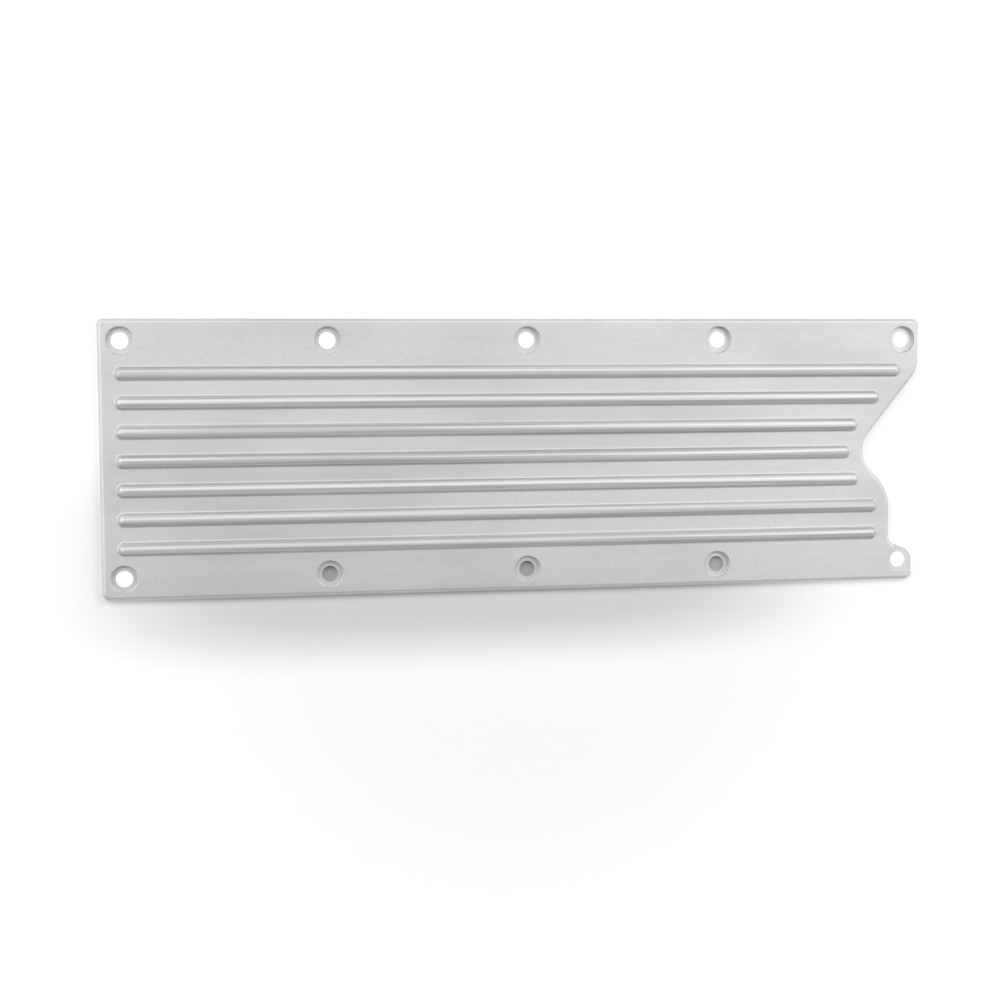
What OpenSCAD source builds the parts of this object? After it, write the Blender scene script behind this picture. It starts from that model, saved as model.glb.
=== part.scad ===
// Valley cover: the flat aluminium lid that closes the valley between two banks of cylinders.
// One casting, machined flat underneath. Two rows of five screw seats are sunk into its top face,
// seven round-topped ribs run along it between the rows, and one end is cut back in an S.
// It lies on its sealing face with the ribs up. The origin is the middle of that face, with X
// along the cover. The cut-back end is at +X, and the screw that stands in an ear is at -Y.

/* [Plate] */
// Thickness of the plate, without its ribs
plate_t = 5; // [4.6:0.1:8]
// Radius of the rounded upper edge
edge_r = 2.4; // [0.5:0.1:2.4]
// Radius of the two corners beside the rear row of screws, seen from above
rear_corner_r = 3; // [2.6:0.1:8]
// Radius of the two corners beside the front row of screws, seen from above
front_corner_r = 4.3; // [2.6:0.1:5]
// From the first screws to the square end
square_end_margin = 11.9; // [10:0.1:20]
// From the last rear screw to the widest part of the cut-back end
cut_end_margin = 10.2; // [9.5:0.1:14]
// From the rear row of screws to the rear edge
rear_margin = 11.9; // [10:0.1:20]
// From the front row of screws to the front edge
front_margin = 11.8; // [10.5:0.1:20]

/* [Screw seats] */
// Distance from one screw to the next along a row
screw_pitch = 111.76; // [108:0.01:125]
// Number of screws in a row
screw_columns = 5; // [4:1:6]
// Distance between the two rows
row_spacing = 129.3; // [127:0.1:150]
// Diameter of the clearance holes
hole_d = 9; // [6:0.1:11]
// Diameter of the sunk seats for the screw heads
seat_d = 15; // [13:0.1:16]
// Depth of the sunk seats
seat_depth = 2.5; // [2.5:0.1:3.5]
// Width of the small bevel round each seat
seat_bevel = 0.3; // [0.1:0.05:0.6]

/* [Ribs] */
// Distance from one rib to the next
rib_pitch = 15.85; // [12:0.05:16.5]
// How far the middle rib stands in front of the middle between the two rows of screws
rib_shift = 0.6; // [0:0.1:1.5]
// Height of the ribs above the plate
rib_h = 3; // [2:0.1:3.9]
// Radius of the rounded rib top
rib_crown_r = 3.3; // [2.4:0.1:3.8]
// Radius of the hollow between rib and plate
rib_root_r = 1.5; // [0.8:0.1:2]
// From the square end to the foot of each rib
rib_start = 8; // [7:0.1:30]
// From the cut-back end to the foot of each rib, rear rib first
rib_stops = [10.8, 23.6, 36.7, 41.1, 35.6, 24.3, 24.1];

/* [Cut-back end] */
// From the rear edge to where the end wall and the long slant would meet
shoulder_from_rear = 29.8; // [28:0.1:34]
// Radius of the shoulder between them
shoulder_r = 18.7; // [12:0.1:22]
// From the rear edge to the deepest point of the two slants
throat_from_rear = 77.7; // [74:0.1:80]
// How far the two slants would reach into the plate
throat_depth = 39.2; // [34:0.1:42]
// Radius of the throat between the slants
throat_r = 16.3; // [12:0.1:18]
// From the rear edge to where the short slant and the neck would meet
hip_from_rear = 99.5; // [97:0.1:102]
// Radius of the hip between them
hip_r = 28.5; // [20:0.1:30]
// How far the neck stands back from the end wall
neck_depth = 16.7; // [14:0.1:20]

/* [Ear] */
// From the centre of the ear's screw to the ear's end
ear_reach = 8.1; // [8:0.1:9.5]
// From the centre of the ear's screw up to where its slanted top and its end would meet
ear_height = 5; // [4.6:0.1:6]
// Slope of the ear's top
ear_slope = 20.6; // [16:0.1:24]
// Radius of the ear's outer corner
ear_r = 7.8; // [6:0.1:8.5]
// Radius of the hollow between the neck and the ear
ear_root_r = 6; // [4:0.1:7]
// Direction in which the ear's open seat leaves the plate
seat_exit_angle = 50; // [40:1:60]

/* [Hidden] */
$fn = 72;
// Most that a chord of the outline may stray from its arc
chord_sag = 0.015;
// Number of flat steps in the rounded upper edge
edge_steps = 6;
// Number of flat steps in the root and in half of the crown of a rib
rib_steps = 7;
// How far cutting shapes reach past what they cut
past = 1;
// How far a rib's foot is sunk, so that it meets the plate in a clean line
foot_sink = 0.02;
// How far inside the seat's round wall the open side starts, so that the two cross cleanly
exit_start = 0.99;

seat_r = seat_d / 2;
plate_l = square_end_margin + (screw_columns - 1) * screw_pitch + cut_end_margin;
plate_w = rear_margin + row_spacing + front_margin;
square_x = -plate_l / 2;
cut_x = plate_l / 2;
rear_y = plate_w / 2;
front_y = -plate_w / 2;
first_screw_x = square_x + square_end_margin;
rear_row_y = rear_y - rear_margin;
front_row_y = front_y + front_margin;
rib_middle_y = (rear_row_y + front_row_y) / 2 - rib_shift;

neck_x = cut_x - neck_depth;
ear_screw_x = cut_x - cut_end_margin;
ear_x = ear_screw_x + ear_reach;
ear_top_y = front_row_y + ear_height;
ear_root_y = ear_top_y + (ear_x - neck_x) * tan(ear_slope);

// The outline's corners, anticlockwise from the square end's front corner. Each is
// [x, y, radius], where x and y tell where its two straight sides would meet.
corners = [
    [square_x, front_y, front_corner_r],
    [ear_x, front_y, front_corner_r],
    [ear_x, ear_top_y, ear_r],
    [neck_x, ear_root_y, ear_root_r],
    [neck_x, rear_y - hip_from_rear, hip_r],
    [cut_x - throat_depth, rear_y - throat_from_rear, throat_r],
    [cut_x, rear_y - shoulder_from_rear, shoulder_r],
    [cut_x, rear_y, rear_corner_r],
    [square_x, rear_y, rear_corner_r]
];

function direction(angle) = [cos(angle), sin(angle)];
function unit(v) = v / norm(v);
function heading(v) = atan2(v.y, v.x);
function cross_z(a, b) = a.x * b.y - a.y * b.x;
function corner_point(i) =
    let (c = corners[(i + len(corners)) % len(corners)])
    [c.x, c.y];

// The arc at corner i, moved inwards by inset. Its centre stays, so only its radius changes,
// and the arcs of all insets have the same number of points.
function corner_arc(i, inset) =
    let (
        radius = corners[i].z,
        before = unit(corner_point(i) - corner_point(i - 1)),
        after = unit(corner_point(i + 1) - corner_point(i)),
        side = sign(cross_z(before, after)),
        turn = acos(before * after),
        centre = corner_point(i) + unit(after - before) * radius / cos(turn / 2),
        steps = ceil(turn / (2 * acos(1 - chord_sag / radius)))
    )
    [for (k = [0 : steps])
        centre + (radius - side * inset) * direction(heading(before) + side * (turn * k / steps - 90))];

function outline(inset) = [for (i = [0 : len(corners) - 1]) each corner_arc(i, inset)];

// The rounded edge's section as [inset, height]: first the arc from the wall to the top face,
// with both ends carried a little past the plate, and then round the outside of it.
function edge_arc(k) =
    let (angle = 90 * k / edge_steps)
    [edge_r * (1 - cos(angle)), plate_t - edge_r * (1 - sin(angle))];
function carried_on(from, to) = to + (to - from) / edge_steps;
function edge_section() =
    let (
        low = carried_on(edge_arc(1), edge_arc(0)),
        high = carried_on(edge_arc(edge_steps - 1), edge_arc(edge_steps))
    )
    [
        low,
        for (k = [1 : edge_steps - 1]) edge_arc(k),
        high,
        [high.x, plate_t + past],
        [-past, plate_t + past],
        [-past, low.y]
    ];

// What a round-edged cutter takes off as it runs once round the plate
module edge_waste() {
    section = edge_section();
    rings = [for (s = section) [for (p = outline(s.x)) [p.x, p.y, s.y]]];
    sides = len(section);
    count = len(rings[0]);
    polyhedron(
        points = [for (ring = rings) each ring],
        faces = [for (j = [0 : sides - 1], i = [0 : count - 1])
            let (
                ring = j * count,
                next_ring = (j + 1) % sides * count,
                next = (i + 1) % count
            )
            [ring + i, ring + next, next_ring + next, next_ring + i]],
        convexity = 10
    );
}

// The hole, the sunk seat and its bevel, for a screw whose axis is the Z axis
module screw_cut() {
    translate([0, 0, -past])
        cylinder(h = plate_t + 2 * past, d = hole_d);
    translate([0, 0, plate_t - seat_depth])
        cylinder(h = seat_depth + past, r = seat_r);
    translate([0, 0, plate_t - seat_bevel])
        cylinder(h = seat_bevel + past, r1 = seat_r, r2 = seat_r + seat_bevel + past);
}

// The open side of the ear's seat: it runs out over the ear's end and its slanted top
module open_side() {
    reach = 2 * seat_d;
    upper = exit_start * seat_r * direction(seat_exit_angle + 90);
    lower = exit_start * seat_r * direction(-90);
    translate([0, 0, plate_t - seat_depth])
        linear_extrude(height = seat_depth + past)
            polygon([lower, lower + [reach, 0], upper + reach * direction(seat_exit_angle), upper]);
}

// Half of a rib's section: the hollow root, the rounded crown, and a foot inside the plate
function crown_z() = rib_h + foot_sink - rib_crown_r;
function rib_lift() = rib_root_r - crown_z();
function rib_half_w() = sqrt(pow(rib_root_r + rib_crown_r, 2) - pow(rib_lift(), 2));
function rib_half() =
    let (wall_angle = acos(rib_lift() / (rib_root_r + rib_crown_r)))
    [
        [0, -past],
        [rib_half_w(), -past],
        for (k = [0 : rib_steps])
            [rib_half_w(), rib_root_r] - rib_root_r * direction(90 - wall_angle * k / rib_steps),
        for (k = [rib_steps - 1 : -1 : 0])
            [0, crown_z()] + rib_crown_r * direction(90 - wall_angle * k / rib_steps)
    ];

// One rib along X, from foot to foot, with its round ends turned from the same half section
module rib(length) {
    run = length - 2 * rib_half_w();
    translate([rib_half_w(), 0, -foot_sink]) {
        rotate([90, 0, 90])
            linear_extrude(height = run) {
                polygon(rib_half());
                mirror([1, 0])
                    polygon(rib_half());
            }
        rotate([0, 0, 90])
            rotate_extrude(angle = 180)
                polygon(rib_half());
        translate([run, 0, 0])
            rotate([0, 0, -90])
                rotate_extrude(angle = 180)
                    polygon(rib_half());
    }
}

module ribs() {
    last = len(rib_stops) - 1;
    for (i = [0 : last]) {
        translate([square_x + rib_start, rib_middle_y + (last / 2 - i) * rib_pitch, plate_t])
            rib(plate_l - rib_start - rib_stops[i]);
    }
}

module screw_cuts() {
    for (column = [0 : screw_columns - 1], y = [rear_row_y, front_row_y]) {
        translate([first_screw_x + column * screw_pitch, y, 0])
            screw_cut();
    }
}

module valley_cover() {
    color("gainsboro") {
        difference() {
            linear_extrude(height = plate_t)
                polygon(outline(0));
            edge_waste();
            screw_cuts();
            translate([ear_screw_x, front_row_y, 0])
                open_side();
        }
        ribs();
    }
}

valley_cover();
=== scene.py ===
"""A cast aluminium valley cover, lying on its sealing face on a pale studio floor.

The cover is modelled here from its own measures, in the place of the frame's plain one. The origin
is the middle of the sealing face, X runs along the cover and the ear is at +X and -Y."""

from math import acos, ceil, cos, pi, radians, sin, sqrt, tan

import bmesh
import bpy
from mathutils import Matrix, Vector


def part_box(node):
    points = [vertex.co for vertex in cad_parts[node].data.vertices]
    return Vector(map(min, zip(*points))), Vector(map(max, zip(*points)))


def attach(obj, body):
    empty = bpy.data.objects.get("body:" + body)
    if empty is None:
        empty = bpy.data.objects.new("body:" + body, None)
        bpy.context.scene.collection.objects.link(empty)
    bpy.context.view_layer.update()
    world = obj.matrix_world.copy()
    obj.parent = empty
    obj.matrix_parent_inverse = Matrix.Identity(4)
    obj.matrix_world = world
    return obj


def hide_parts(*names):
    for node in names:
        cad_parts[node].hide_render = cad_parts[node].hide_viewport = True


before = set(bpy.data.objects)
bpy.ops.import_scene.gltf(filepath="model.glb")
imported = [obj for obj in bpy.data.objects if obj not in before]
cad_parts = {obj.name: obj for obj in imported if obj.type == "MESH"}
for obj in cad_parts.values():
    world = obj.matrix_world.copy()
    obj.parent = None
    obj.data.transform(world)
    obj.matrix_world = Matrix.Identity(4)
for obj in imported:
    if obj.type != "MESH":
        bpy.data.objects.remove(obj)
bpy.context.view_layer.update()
LOW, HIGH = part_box("valley_cover")

MM = 0.001
TINY = 1e-6
UP = Vector((0, 0, 1))
ALONG = Vector((1, 0, 0))
TO_REAR = Vector((0, 1, 0))

# ---------------------------------------------------------------- sizes of the cover, in metres

PLATE_T = 5 * MM
EDGE_R = 2.4 * MM
REAR_CORNER_R = 3 * MM
FRONT_CORNER_R = 4.3 * MM

SCREW_PITCH = 111.76 * MM
SCREW_COLUMNS = 5
FIRST_SCREW_X = LOW.x + 11.9 * MM
REAR_ROW_Y = HIGH.y - 11.9 * MM
FRONT_ROW_Y = LOW.y + 11.8 * MM
ROW_MIDDLE_Y = (REAR_ROW_Y + FRONT_ROW_Y) / 2
HOLE_R = 4.5 * MM
SEAT_R = 7.5 * MM
SEAT_DEPTH = 2.5 * MM
SEAT_FLOOR_Z = PLATE_T - SEAT_DEPTH
SEAT_BEVEL = 0.3 * MM
SEAT_CORNER_R = 0.4 * MM

RIB_PITCH = 15.85 * MM
RIB_MIDDLE_Y = ROW_MIDDLE_Y - 0.6 * MM
RIB_H = 3 * MM
RIB_CROWN_R = 3.3 * MM
RIB_ROOT_R = 1.5 * MM
RIB_START = 8 * MM
RIB_STOPS = [stop * MM for stop in (10.8, 23.6, 36.7, 41.1, 35.6, 24.3, 24.1)]
LAST_RIB = len(RIB_STOPS) - 1
# How far the bottom of a rib's root lies inside the plate, and how deep the rib itself reaches
RIB_SUNK = 0.02 * MM
RIB_REACH = 2 * MM

SHOULDER_Y = HIGH.y - 29.8 * MM
SHOULDER_R = 18.7 * MM
THROAT_X = HIGH.x - 39.2 * MM
THROAT_Y = HIGH.y - 77.7 * MM
THROAT_R = 16.3 * MM
HIP_Y = HIGH.y - 99.5 * MM
HIP_R = 28.5 * MM
NECK_X = HIGH.x - 16.7 * MM

EAR_SCREW_X = HIGH.x - 10.2 * MM
EAR_X = EAR_SCREW_X + 8.1 * MM
EAR_TOP_Y = FRONT_ROW_Y + 5 * MM
EAR_SLOPE = radians(20.6)
EAR_ROOT_Y = EAR_TOP_Y + (EAR_X - NECK_X) * tan(EAR_SLOPE)
EAR_R = 7.8 * MM
EAR_ROOT_R = 6 * MM
SEAT_EXIT_ANGLE = radians(50)
# The open side starts this far out on the seat's radius, so that the two walls cross cleanly
SEAT_EXIT_START = 0.99

# Where the straight sides of the outline would meet, anticlockwise, and the radius of each corner
CORNERS = [
    (LOW.x, LOW.y, FRONT_CORNER_R),
    (EAR_X, LOW.y, FRONT_CORNER_R),
    (EAR_X, EAR_TOP_Y, EAR_R),
    (NECK_X, EAR_ROOT_Y, EAR_ROOT_R),
    (NECK_X, HIP_Y, HIP_R),
    (THROAT_X, THROAT_Y, THROAT_R),
    (HIGH.x, SHOULDER_Y, SHOULDER_R),
    (HIGH.x, HIGH.y, REAR_CORNER_R),
    (LOW.x, HIGH.y, REAR_CORNER_R),
]

# How far cutters reach past what they cut
PAST = 1 * MM

# How finely round forms are stepped, and up to which angle faces are shaded as one
OUTLINE_SAG = 0.004 * MM
EDGE_STEPS = 8
CROWN_STEPS = 14
ROOT_STEPS = 12
RIB_END_STEPS = 28
SEAT_CORNER_STEPS = 4
SCREW_STEPS = 96
SMOOTH_ANGLE = radians(32)


# ---------------------------------------------------------------- modelling by hand, in code


def direction(angle):
    return Vector((cos(angle), sin(angle), 0))


def arc_steps(radius, angle):
    """How many chords keep an arc of the outline within its sag of the true curve"""
    return max(2, ceil(abs(angle) / (2 * acos(1 - OUTLINE_SAG / radius))))


def activate(piece):
    """Selects this piece alone and makes it the active one."""
    bpy.ops.object.select_all(action="DESELECT")
    piece.select_set(True)
    bpy.context.view_layer.objects.active = piece


def select_edges(piece, test):
    """In edit mode, selects the edges for which test is true."""
    bpy.ops.mesh.select_mode(type="EDGE")
    bpy.ops.mesh.select_all(action="DESELECT")
    mesh = bmesh.from_edit_mesh(piece.data)
    for edge in mesh.edges:
        if test(edge):
            edge.select_set(True)
    mesh.select_flush_mode()
    bmesh.update_edit_mesh(piece.data)


def pull(offset):
    """Extrudes what is selected by an offset."""
    bpy.ops.mesh.extrude_region_move(TRANSFORM_OT_translate={"value": offset})


def turn(angle, centre, axis, steps):
    """Spins what is selected about an axis, anticlockwise as seen from the axis's tip."""
    bpy.ops.mesh.spin(steps=steps, angle=-angle, center=centre, axis=axis)


def start_line(name, point):
    """A new piece that is one vertex, in edit mode, ready to be pulled and turned"""
    bpy.ops.object.select_all(action="DESELECT")
    bpy.ops.mesh.primitive_plane_add(size=MM, location=point)
    piece = bpy.context.object
    piece.name = name
    bpy.ops.object.transform_apply(location=True)
    bpy.ops.object.mode_set(mode="EDIT")
    bpy.ops.mesh.select_mode(type="VERT")
    bpy.ops.mesh.select_all(action="SELECT")
    bpy.ops.mesh.merge(type="CENTER")
    return piece


def draw(points):
    """Pulls the selected vertex from point to point."""
    for here, there in zip(points, points[1:]):
        pull(there - here)


def fill():
    """Closes the line that was drawn and makes one face of it."""
    bpy.ops.mesh.select_all(action="SELECT")
    bpy.ops.mesh.remove_doubles(threshold=TINY)
    bpy.ops.mesh.edge_face_add()


def close_up():
    """Merges doubles and turns every face outwards, then leaves edit mode."""
    bpy.ops.mesh.select_all(action="SELECT")
    bpy.ops.mesh.remove_doubles(threshold=TINY)
    bpy.ops.mesh.normals_make_consistent(inside=False)
    bpy.ops.object.mode_set(mode="OBJECT")


def combine(piece, other, operation):
    """Joins another piece on, or cuts it out, and removes that other piece."""
    activate(piece)
    modifier = piece.modifiers.new("combine", "BOOLEAN")
    modifier.operation = operation
    modifier.solver = "EXACT"
    modifier.object = other
    bpy.ops.object.modifier_apply(modifier=modifier.name)
    bpy.data.objects.remove(other)


def copy_to(piece, offset):
    """A copy with its own mesh, moved by an offset"""
    copy = piece.copy()
    copy.data = piece.data.copy()
    copy.data.transform(Matrix.Translation(offset))
    bpy.context.collection.objects.link(copy)
    return copy


def gather(pieces):
    """Makes one object of several pieces."""
    activate(pieces[0])
    for piece in pieces[1:]:
        piece.select_set(True)
    bpy.ops.object.join()
    return pieces[0]


# ---------------------------------------------------------------- the plate


def corner_arcs():
    """For each corner of the outline: its arc's start, centre, angle of turn and radius"""
    arcs = []
    for i, (x, y, radius) in enumerate(CORNERS):
        corner = Vector((x, y, 0))
        before = (corner - Vector((*CORNERS[i - 1][:2], 0))).normalized()
        after = (Vector((*CORNERS[(i + 1) % len(CORNERS)][:2], 0)) - corner).normalized()
        angle = acos(before.dot(after)) * (1 if before.cross(after).z > 0 else -1)
        reach = radius * tan(abs(angle) / 2)
        start = corner - before * reach
        inwards = UP.cross(before) * (1 if angle > 0 else -1)
        arcs.append((start, start + inwards * radius, angle, radius))
    return arcs


def model_plate():
    """The outline drawn with pulls and turns, raised to its thickness and rounded along its top"""
    arcs = corner_arcs()
    plate = start_line("plate", arcs[0][0])
    here = arcs[0][0]
    for start, centre, angle, radius in arcs:
        if (start - here).length > TINY:
            pull(start - here)
        turn(angle, centre, UP, arc_steps(radius, angle))
        here = centre + Matrix.Rotation(angle, 3, UP) @ (start - centre)
    pull(arcs[0][0] - here)
    fill()
    pull(UP * PLATE_T)
    bpy.ops.mesh.select_all(action="SELECT")
    bpy.ops.mesh.normals_make_consistent(inside=False)
    select_edges(plate, lambda edge: all(vert.co.z > PLATE_T - TINY for vert in edge.verts))
    bpy.ops.mesh.bevel(
        offset=EDGE_R, segments=EDGE_STEPS, profile=0.5, affect="EDGES", clamp_overlap=False
    )
    close_up()
    return plate


# ---------------------------------------------------------------- the ribs


def rib_section():
    """The heights of the crown's and the root's centres, half the width, and the side's lean"""
    crown_z = PLATE_T + RIB_H - RIB_CROWN_R
    root_z = PLATE_T - RIB_SUNK + RIB_ROOT_R
    drop = root_z - crown_z
    half_w = sqrt((RIB_CROWN_R + RIB_ROOT_R) ** 2 - drop**2)
    lean = acos(drop / (RIB_CROWN_R + RIB_ROOT_R))
    return crown_z, root_z, half_w, lean


def model_rib(name, y, start_x, end_x):
    """One rib: half its section is drawn, pulled along it and spun round both its ends"""
    crown_z, root_z, half_w, lean = rib_section()
    first = Vector((start_x + half_w, y, 0))
    run = ALONG * (end_x - start_x - 2 * half_w)
    rib = start_line(name, first + UP * (crown_z + RIB_CROWN_R))
    turn(lean, first + UP * crown_z, ALONG, CROWN_STEPS)
    turn(-lean, first + Vector((0, -half_w, root_z)), ALONG, ROOT_STEPS)
    foot = first + Vector((0, -half_w, root_z - RIB_ROOT_R))
    inside = PLATE_T - RIB_REACH
    draw([foot, Vector((foot.x, foot.y, inside)), Vector((foot.x, y, inside))])
    bpy.ops.mesh.select_all(action="SELECT")
    pull(run)
    turn(pi, first + run, UP, RIB_END_STEPS)
    pull(-run)
    turn(pi, first, UP, RIB_END_STEPS)
    close_up()
    return rib


def model_ribs():
    ribs = []
    for i, stop in enumerate(RIB_STOPS):
        y = RIB_MIDDLE_Y + (LAST_RIB / 2 - i) * RIB_PITCH
        ribs.append(model_rib(f"rib_{i}", y, LOW.x + RIB_START, HIGH.x - stop))
    return gather(ribs)


# ---------------------------------------------------------------- the screw seats


def model_screw_cutter(place):
    """The hole, the seat with its turned inner corner, and its bevelled rim, all spun at once"""
    corner_x = SEAT_R - SEAT_CORNER_R
    corner_z = SEAT_FLOOR_Z + SEAT_CORNER_R

    def at(radius, z):
        return Vector((place.x + radius, place.y, z))

    cutter = start_line("screw_cutter", at(0, -PAST))
    draw([at(0, -PAST), at(HOLE_R, -PAST), at(HOLE_R, SEAT_FLOOR_Z), at(corner_x, SEAT_FLOOR_Z)])
    turn(-pi / 2, at(corner_x, corner_z), TO_REAR, SEAT_CORNER_STEPS)
    draw(
        [
            at(SEAT_R, corner_z),
            at(SEAT_R, PLATE_T - SEAT_BEVEL),
            at(SEAT_R + SEAT_BEVEL, PLATE_T),
            at(SEAT_R + SEAT_BEVEL + PAST, PLATE_T + PAST),
            at(0, PLATE_T + PAST),
        ]
    )
    bpy.ops.mesh.select_all(action="SELECT")
    turn(2 * pi, at(0, 0), UP, SCREW_STEPS)
    close_up()
    return cutter


def model_screw_cutters():
    """One cutter for each screw, all copied from the first"""
    first = model_screw_cutter(Vector((FIRST_SCREW_X, REAR_ROW_Y, 0)))
    cutters = [first]
    for column in range(SCREW_COLUMNS):
        for row_y in (REAR_ROW_Y, FRONT_ROW_Y):
            offset = Vector((column * SCREW_PITCH, row_y - REAR_ROW_Y, 0))
            if offset.length > 0:
                cutters.append(copy_to(first, offset))
    return gather(cutters)


def model_open_side():
    """What the ear's seat loses at its open side, out over the ear's end and its slanted top"""
    screw = Vector((EAR_SCREW_X, FRONT_ROW_Y, SEAT_FLOOR_Z))
    reach = 4 * SEAT_R
    start = SEAT_EXIT_START * SEAT_R
    upper = screw + start * direction(SEAT_EXIT_ANGLE + pi / 2)
    lower = screw + start * direction(-pi / 2)
    corners = [lower, lower + reach * ALONG, upper + reach * direction(SEAT_EXIT_ANGLE), upper]
    side = start_line("open_side", corners[0])
    draw(corners + [corners[0]])
    fill()
    pull(UP * (SEAT_DEPTH + PAST))
    close_up()
    return side


# ---------------------------------------------------------------- the cover


def model_cover():
    cover = model_plate()
    combine(cover, model_ribs(), "UNION")
    combine(cover, model_screw_cutters(), "DIFFERENCE")
    combine(cover, model_open_side(), "DIFFERENCE")
    cover.name = "cover"
    bpy.ops.object.shade_smooth_by_angle(angle=SMOOTH_ANGLE)
    weighted = cover.modifiers.new("even shading", "WEIGHTED_NORMAL")
    weighted.mode = "FACE_AREA"
    weighted.weight = 50
    weighted.keep_sharp = True
    bpy.ops.object.modifier_apply(modifier=weighted.name)
    return cover


cover = model_cover()
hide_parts("valley_cover")
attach(cover, "root")


# ---------------------------------------------------------------- shader maths


class Wire:
    """One output socket of a material, with which plain Python can reckon"""

    def __init__(self, finish, socket):
        self.finish = finish
        self.socket = socket

    def _maths(self, operation, *others, swapped=False):
        values = [self, *others]
        if swapped:
            values.reverse()
        return self.finish.node(
            "ShaderNodeMath", {"operation": operation}, dict(enumerate(values))
        )

    def __add__(self, other):
        return self._maths("ADD", other)

    def __radd__(self, other):
        return self._maths("ADD", other, swapped=True)

    def __sub__(self, other):
        return self._maths("SUBTRACT", other)

    def __rsub__(self, other):
        return self._maths("SUBTRACT", other, swapped=True)

    def __mul__(self, other):
        return self._maths("MULTIPLY", other)

    def __rmul__(self, other):
        return self._maths("MULTIPLY", other, swapped=True)

    def __truediv__(self, other):
        return self._maths("DIVIDE", other)

    def __pow__(self, other):
        return self._maths("POWER", other)

    def __lt__(self, other):
        return self._maths("LESS_THAN", other)

    def __gt__(self, other):
        return self._maths("GREATER_THAN", other)

    def __abs__(self):
        return self._maths("ABSOLUTE")

    def sine(self):
        return self._maths("SINE")

    def from_nearest(self, pitch):
        """How far past the nearest whole multiple of pitch this value is"""
        return self._maths("WRAP", -pitch / 2, pitch / 2)


class Finish:
    """A material whose nodes are made by one method"""

    def __init__(self, name):
        self.material = bpy.data.materials.new(name)
        self.material.use_nodes = True
        self.tree = self.material.node_tree
        self.surface = self.tree.nodes["Principled BSDF"]

    def node(self, kind, settings=None, inputs=None, output=0):
        """Adds a node, sets it up, feeds its sockets and returns one of its outputs as a wire."""
        made = self.tree.nodes.new(kind)
        for name, value in (settings or {}).items():
            setattr(made, name, value)
        for name, value in (inputs or {}).items():
            self.feed(made.inputs[name], value)
        return Wire(self, made.outputs[output])

    def feed(self, socket, value):
        if isinstance(value, Wire):
            self.tree.links.new(value.socket, socket)
        else:
            socket.default_value = value

    def set(self, **values):
        """Feeds the surface's own sockets, with _ for each space in their names."""
        for name, value in values.items():
            self.feed(self.surface.inputs[name.replace("_", " ")], value)


# ---------------------------------------------------------------- finishes

SKIN_DARK = (0.69, 0.682, 0.703, 1)
SKIN_PALE = (0.764, 0.765, 0.777, 1)
STREAK_PALE = (0.80, 0.80, 0.81, 1)
SPECK_DARK = (0.60, 0.597, 0.61, 1)
RIB_WARM = (0.83, 0.82, 0.812, 1)
RIB_LINE_DARK = (0.61, 0.6, 0.592, 1)
# Painted shade for the steep sides of the ribs
RIB_SIDE_PAINTED_SHADE = (0.52, 0.518, 0.515, 1)
CUT_BRIGHT = (0.79, 0.788, 0.785, 1)
# Painted shade for the walls of the screw seats
SEAT_WALL_PAINTED_SHADE = (0.42, 0.418, 0.41, 1)

# Slack in telling one face from another by its place
HAIR = 0.02 * MM
# What stands higher than this is a rib
RIB_FOOT_Z = PLATE_T + 0.1 * MM
RIB_SIDE_Z = PLATE_T + 0.6 * MM
BUMP_DEPTH = 0.25 * MM
SEAT_RING_PITCH = 0.35 * MM
MILL_ARC_PITCH = 0.9 * MM
# Where the milling cutter's arcs underneath have their centre
MILL_X = -400 * MM
MILL_Y = 20 * MM


def split(finish, vector):
    """The x, y and z of a vector, each as a wire"""
    return [
        finish.node("ShaderNodeSeparateXYZ", inputs={"Vector": vector}, output=axis)
        for axis in range(3)
    ]


def noise(finish, place, stretch, detail, roughness):
    """Smooth noise with stretch ups and downs to the metre along each axis"""
    scaled = finish.node("ShaderNodeVectorMath", {"operation": "MULTIPLY"}, {0: place, 1: stretch})
    return finish.node(
        "ShaderNodeTexNoise",
        inputs={"Vector": scaled, "Scale": 1, "Detail": detail, "Roughness": roughness},
    )


def ramp(finish, value, low, high):
    """From 0 at low to 1 at high, smoothly, and level beyond"""
    return finish.node(
        "ShaderNodeMapRange",
        {"interpolation_type": "SMOOTHSTEP"},
        {"Value": value, "From Min": low, "From Max": high, "To Min": 0, "To Max": 1},
    )


def blend(finish, factor, here, there):
    """From one colour to another"""
    inputs = {0: factor, 6: here, 7: there}
    return finish.node("ShaderNodeMix", {"data_type": "RGBA"}, inputs, output=2)


def length(across, up):
    """The length of a line that runs this far across and this far up"""
    return (across * across + up * up) ** 0.5


def from_screw(x, y):
    """Distance from the axis of the nearest screw, in metres"""
    across = (x - FIRST_SCREW_X).from_nearest(SCREW_PITCH)
    up = abs(y - ROW_MIDDLE_Y) - (REAR_ROW_Y - FRONT_ROW_Y) / 2
    return length(across, up)


def rings(distance, pitch):
    """Waves from -1 to 1 that lie one pitch apart"""
    return (distance * (2 * pi / pitch)).sine()


def painted_shade_on_rib_sides(finish, y, z):
    """1 on the steep sides of each rib, where painted shade darkens the colour, and 0 elsewhere"""
    from_middle = y - RIB_MIDDLE_Y
    among_ribs = abs(from_middle) < RIB_PITCH * (LAST_RIB / 2 + 0.4)
    from_rib = abs(from_middle.from_nearest(RIB_PITCH))
    side = ramp(finish, from_rib, 2.3 * MM, 3 * MM) * ramp(finish, from_rib, 3.9 * MM, 3.4 * MM)
    return side * among_ribs * (z > RIB_FOOT_Z)


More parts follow.
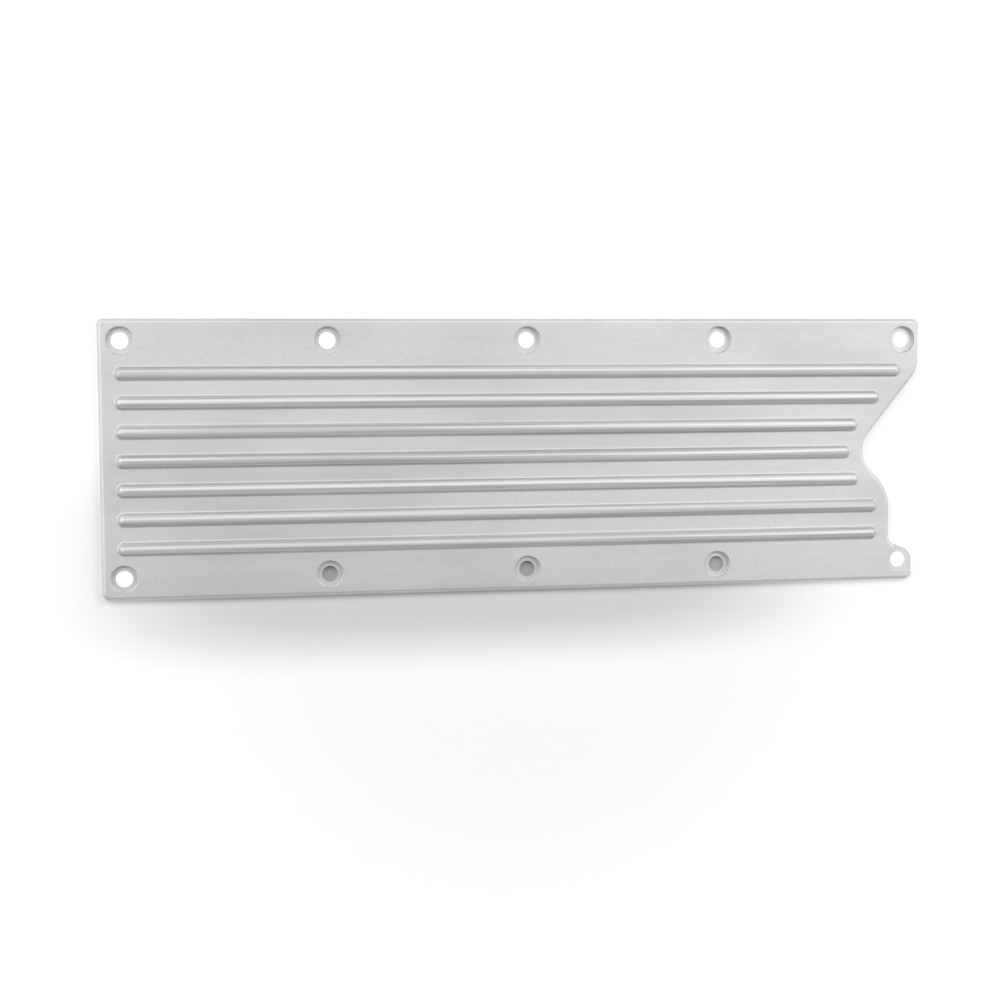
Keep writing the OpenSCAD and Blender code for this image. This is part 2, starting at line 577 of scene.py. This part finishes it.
def make_aluminium():
    """Satin cast aluminium, with its screw seats and its sealing face cut bright by the mill, and
    painted shade on the seats' walls and on the ribs' steep sides
    """
    finish = Finish("cast_aluminium")
    place = finish.node("ShaderNodeTexCoord", output="Object")
    x, y, z = split(finish, place)

    clouds = noise(finish, place, (9, 16, 16), detail=2, roughness=0.45)
    streaks = noise(finish, place, (5, 170, 60), detail=3, roughness=0.55)
    rib_lines = noise(finish, place, (4, 750, 750), detail=1, roughness=0.5)
    grain = noise(finish, place, (1500, 1500, 1500), detail=2, roughness=0.6)
    speckle = noise(finish, place, (520, 520, 520), detail=3, roughness=0.6)

    radius = from_screw(x, y)
    in_seat = (radius < SEAT_R + HAIR) * (z < PLATE_T - SEAT_BEVEL)
    underneath = z < HAIR
    machined = 1 - (1 - in_seat) * (1 - underneath)
    # Where the seats' walls get painted shade
    seat_wall_shade = in_seat * ramp(finish, z, SEAT_FLOOR_Z + 0.3 * MM, SEAT_FLOOR_Z + 0.9 * MM)
    on_rib = ramp(finish, z, RIB_FOOT_Z, RIB_SIDE_Z)
    # Where the ribs' steep sides get painted shade
    rib_side_shade = painted_shade_on_rib_sides(finish, y, z)

    cloudy = ramp(finish, clouds, 0.32, 0.62)
    streaky = ramp(finish, streaks, 0.4, 0.65)
    speckled = ramp(finish, speckle, 0.42, 0.66)
    lined = on_rib * ramp(finish, rib_lines, 0.48, 0.58)

    cast = blend(finish, cloudy, SKIN_DARK, SKIN_PALE)
    cast = blend(finish, 0.35 * streaky, cast, STREAK_PALE)
    cast = blend(finish, 0.17 * speckled, cast, SPECK_DARK)
    cast = blend(finish, 0.6 * on_rib, cast, RIB_WARM)
    cast = blend(finish, 0.9 * lined, cast, RIB_LINE_DARK)
    # Painted shade on the steep sides of the ribs
    cast = blend(finish, 0.35 * rib_side_shade, cast, RIB_SIDE_PAINTED_SHADE)
    # Bright machined metal, with painted shade on the seats' walls
    bare_and_wall_shade = blend(finish, 0.7 * seat_wall_shade, CUT_BRIGHT, SEAT_WALL_PAINTED_SHADE)

    turned = in_seat * rings(radius, SEAT_RING_PITCH)
    milled = underneath * rings(length(x - MILL_X, y - MILL_Y), MILL_ARC_PITCH)
    rough_cast = 0.6 * grain + 0.6 * speckle + 3.2 * on_rib * rib_lines
    height = (1 - machined) * rough_cast + 0.12 * (turned + milled)
    finish.set(
        Base_Color=blend(finish, 0.75 * machined, cast, bare_and_wall_shade),
        Metallic=0.9,
        Roughness=0.57 + 0.05 * clouds + 0.04 * streaks + 0.04 * grain - 0.04 * machined,
        Normal=finish.node(
            "ShaderNodeBump", inputs={"Height": height, "Strength": 0.12, "Distance": BUMP_DEPTH}
        ),
    )
    return finish.material


cover.data.materials.clear()
cover.data.materials.append(make_aluminium())


# ---------------------------------------------------------------- floor, light and camera

FLOOR_SIZE = 12
FLOOR_TONE = (0.68, 0.68, 0.68, 1)
BLACK = (0, 0, 0, 1)
# How brightly the floor glows outside the painted soft shadow, and what is added far out and, as
# painted light, in holes
FLOOR_GLOW = 0.34
FAR_GLOW = 0.25
# Painted light: extra glow that lightens the floor under the holes, where they shade it
HOLE_PAINTED_LIGHT = 0.5
# How much painted shade darkens the floor behind the middle holes of the front row
HOLE_PAINTED_SHADE = 0.45
# The middle and the half sizes of the soft shadow painted in front of the cover, where the floor
# glows less
PAINTED_SHADOW_X = -40 * MM
PAINTED_SHADOW_Y = 0.75 * LOW.y
PAINTED_SHADOW_HALF_L = HIGH.x / 1.75
PAINTED_SHADOW_HALF_W = HIGH.y / 2.15

# Sensor and lens in millimetres, and the camera's yaw, pitch and roll
SENSOR_W = 36
LENS = 61.884
CAMERA_TURN = (radians(-10.495), radians(-4.428), radians(-0.2533))
CAMERA_FROM_FIRST_SCREW = Vector((31.815, -15.021, 948.795)) * MM


def fourth_power(value):
    square = value * value
    return square * square


def outside_painted_shadow(finish, x, y):
    """0 in the middle of the painted soft shadow, whose shape is a rounded oblong, and 1 outside
    it
    """
    sideways = (x - PAINTED_SHADOW_X) / PAINTED_SHADOW_HALF_L
    forwards = (y - PAINTED_SHADOW_Y) / PAINTED_SHADOW_HALF_W
    out = (fourth_power(sideways) + fourth_power(forwards)) ** 0.25
    return ramp(finish, out, 0.9, 1.95)


def make_floor():
    """A pale floor that looks white to the camera and to shiny metal, and keeps the cover's shadow

    It glows more where the softboxes reach it less, far from the cover. Under its holes the extra
    glow is painted light, and close in front of the cover it glows less, a painted soft shadow.
    The middle holes of the front row stand over that painted shadow, so behind them painted shade
    darkens it instead."""
    bpy.ops.object.select_all(action="DESELECT")
    bpy.ops.mesh.primitive_plane_add(size=FLOOR_SIZE, location=(0, 0, 0))
    floor = bpy.context.object
    floor.name = "floor"
    finish = Finish("floor_white")
    seen = finish.node("ShaderNodeLightPath", output="Is Camera Ray")
    mirrored = finish.node("ShaderNodeLightPath", output="Is Glossy Ray")
    through = finish.node("ShaderNodeLightPath", output="Is Transmission Ray")
    x, y, _ = split(finish, finish.node("ShaderNodeTexCoord", output="Object"))
    # 0 inside the painted soft shadow, 1 outside it
    clear = outside_painted_shadow(finish, x, y)
    far = ramp(finish, length(x, y), 0.15, 0.45)
    in_hole = (from_screw(x, y) < HOLE_R) * (abs(x) < HIGH.x)
    in_front = 1 - ramp(finish, y, -20 * MM, 20 * MM)
    in_middle = 1 - ramp(finish, abs(x), 130 * MM, 190 * MM)
    painted_shade_zone = in_front * in_middle
    # Less glow in the painted shadow, and painted light under the holes
    glow = FLOOR_GLOW * clear + FAR_GLOW * far + HOLE_PAINTED_LIGHT * in_hole * (1 - painted_shade_zone)
    finish.set(
        # Painted shade behind the middle holes of the front row
        Base_Color=blend(finish, HOLE_PAINTED_SHADE * in_hole * painted_shade_zone, FLOOR_TONE, BLACK),
        Roughness=0.9,
        Emission_Color=glow * (seen + mirrored + through),
        Emission_Strength=1,
    )
    floor.data.materials.append(finish.material)


def add_softbox(name, azimuth, height, power, size=0.8, distance=1.6):
    """A square softbox that looks at the cover from an azimuth and a height, both in degrees"""
    light = bpy.data.lights.new(name, "AREA")
    light.shape = "SQUARE"
    light.size = size
    light.energy = power
    lamp = bpy.data.objects.new(name, light)
    bpy.context.collection.objects.link(lamp)
    level = cos(radians(height)) * direction(radians(azimuth))
    lamp.location = distance * (level + sin(radians(height)) * UP)
    lamp.rotation_euler = (-lamp.location).to_track_quat("-Z", "Y").to_euler()


def light_world(strength):
    world = bpy.data.worlds.new("studio")
    bpy.context.scene.world = world
    world.use_nodes = True
    background = world.node_tree.nodes["Background"]
    background.inputs["Color"].default_value = (1, 1, 1, 1)
    background.inputs["Strength"].default_value = strength


def add_camera():
    """The photo's camera: high above the cover's left half, and turned a little to its right"""
    yaw, pitch, roll = CAMERA_TURN
    turned = Matrix.Rotation(yaw, 3, "Y") @ Matrix.Rotation(pitch, 3, "X")
    turned = turned @ Matrix.Rotation(roll, 3, "Z")
    camera = bpy.data.cameras.new("camera")
    camera.sensor_width = SENSOR_W
    camera.lens = LENS
    camera.clip_start = 0.01
    stand = bpy.data.objects.new("camera", camera)
    bpy.context.collection.objects.link(stand)
    stand.rotation_euler = turned.to_euler()
    stand.location = Vector((FIRST_SCREW_X, REAR_ROW_Y, PLATE_T)) + CAMERA_FROM_FIRST_SCREW
    bpy.context.scene.camera = stand


make_floor()
add_softbox("rear_left_softbox", 135, 46, 9.4)
add_softbox("rear_right_softbox", 45, 46, 9.4)
add_softbox("left_softbox", 180, 33, 6.2)
add_softbox("right_softbox", 0, 33, 5.2)
add_softbox("front_right_softbox", 315, 45, 1.3)
add_softbox("front_low_softbox", 270, 8, 1.6, size=0.4)
light_world(0.2)
add_camera()

bpy.context.scene.view_settings.view_transform = "Standard"
